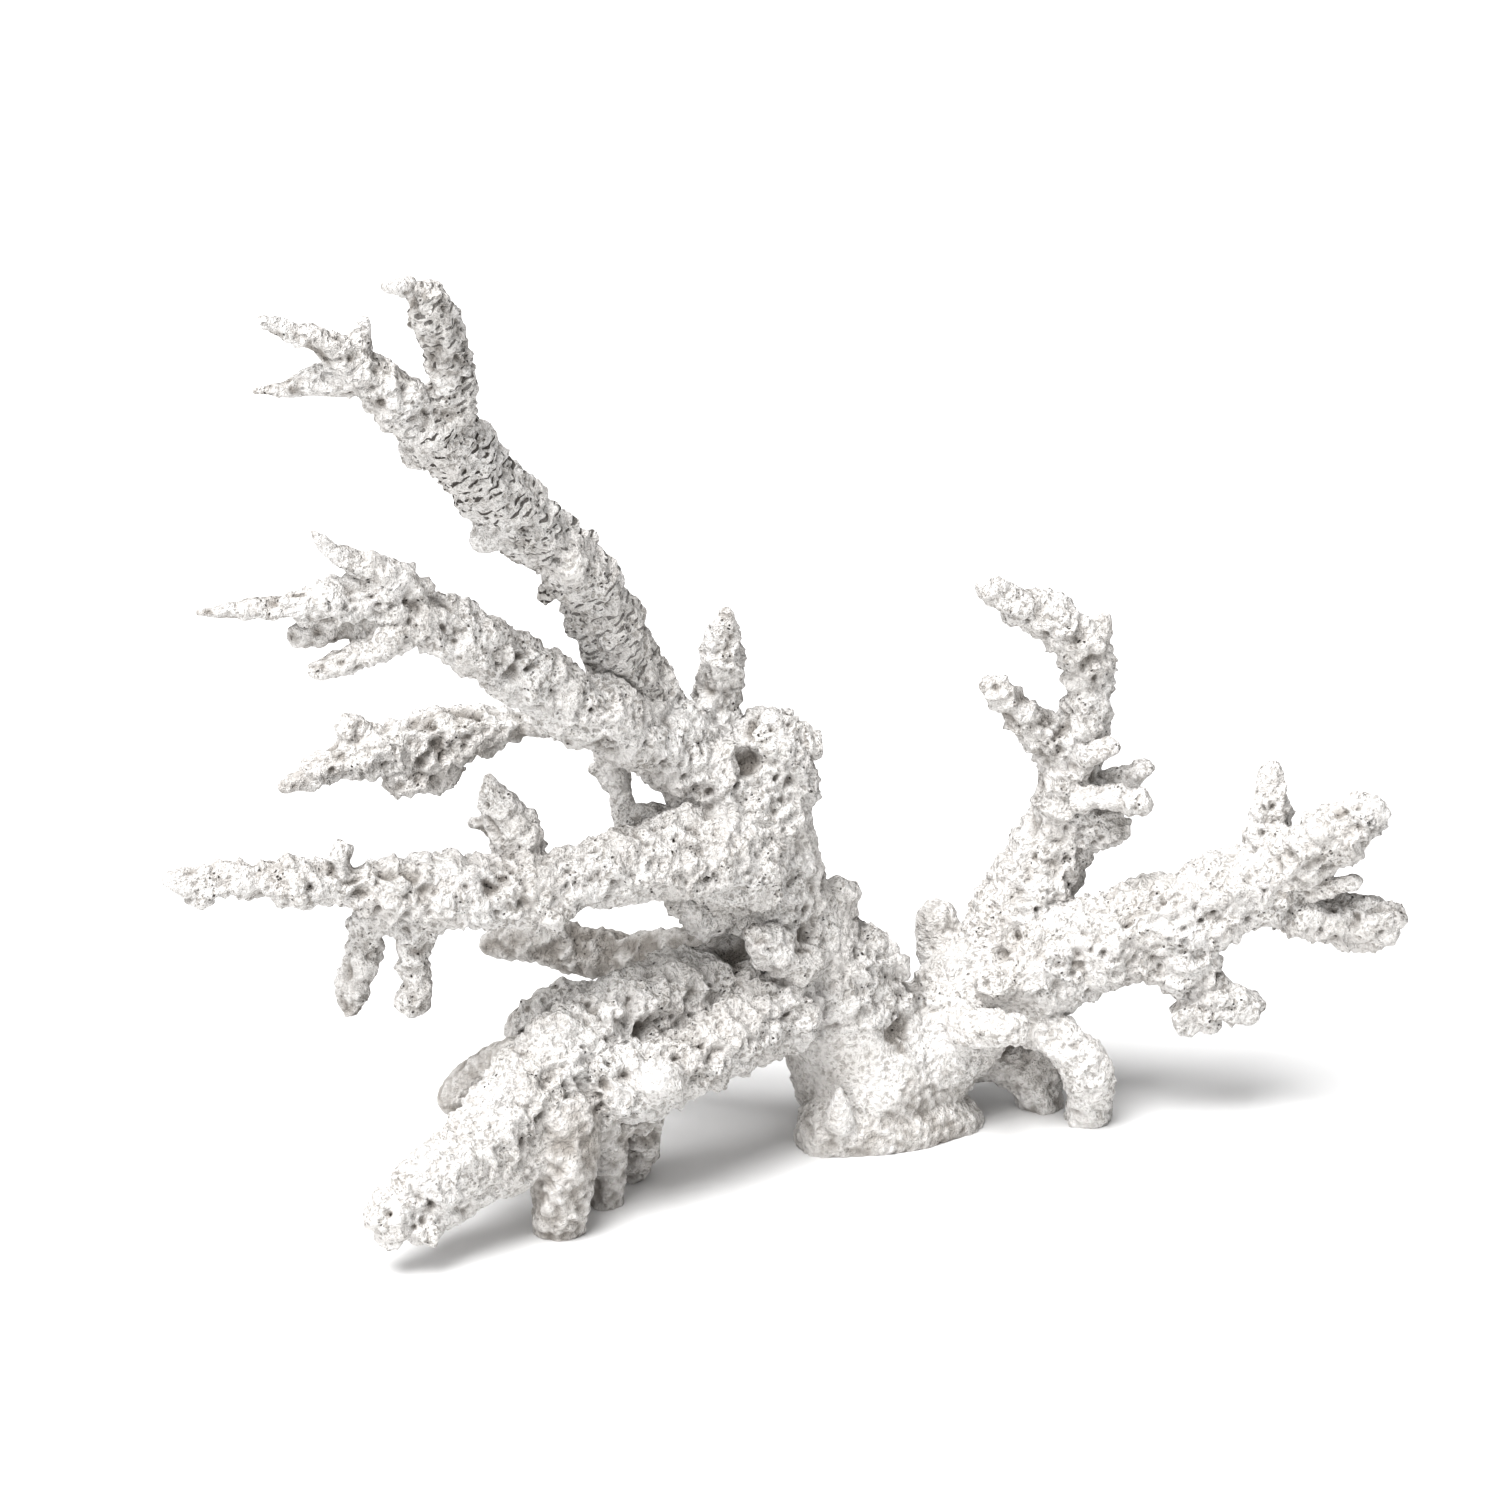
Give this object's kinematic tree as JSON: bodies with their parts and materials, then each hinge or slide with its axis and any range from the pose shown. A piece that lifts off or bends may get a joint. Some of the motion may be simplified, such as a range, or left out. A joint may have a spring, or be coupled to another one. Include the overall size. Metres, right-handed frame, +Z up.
{
  "type": "branch coral skeleton",
  "caption": "Bleached skeleton of a branching stony coral with limbs that fan out to both sides, cut off flat at its feet so that it stands free.",
  "frame": {"origin": "middle of the coral's extent in plan, at the height of its flat-cut feet", "axes": "+Z up, +X along the longest extent towards the single arm on the right, +Y away from the side that faces the viewer"},
  "size_m": [0.179, 0.072, 0.1464],
  "materials": {
    "bleached": "bleached aragonite, matt and pitted",
    "worn": "bleached aragonite, worn smoother",
    "shaded": "bleached aragonite, matt and a little greyer"
  },
  "bodies": {
    "root": {"trunk": "worn", "spire": "bleached", "tall_limb": "bleached", "tall_limb_upper_prong": "bleached", "tall_limb_left_prong": "bleached", "second_left_limb": "bleached", "second_limb_fan": "bleached", "third_left_limb": "shaded", "long_left_arm": "bleached", "left_hanging_finger": "shaded", "right_hanging_finger": "shaded", "back_left_limb": "shaded", "front_left_limb": "bleached", "front_foot": "bleached", "small_foot": "shaded", "right_root": "worn", "right_rear_foot": "worn", "right_front_foot": "worn", "upright_right_limb": "bleached", "upright_limb_tip": "bleached", "upright_limb_twig": "bleached", "right_arm": "worn", "right_arm_spike": "bleached", "right_arm_upper_prong": "bleached", "right_arm_lower_prong": "bleached", "right_arm_drop_prong": "shaded"}
  },
  "joints": []
}
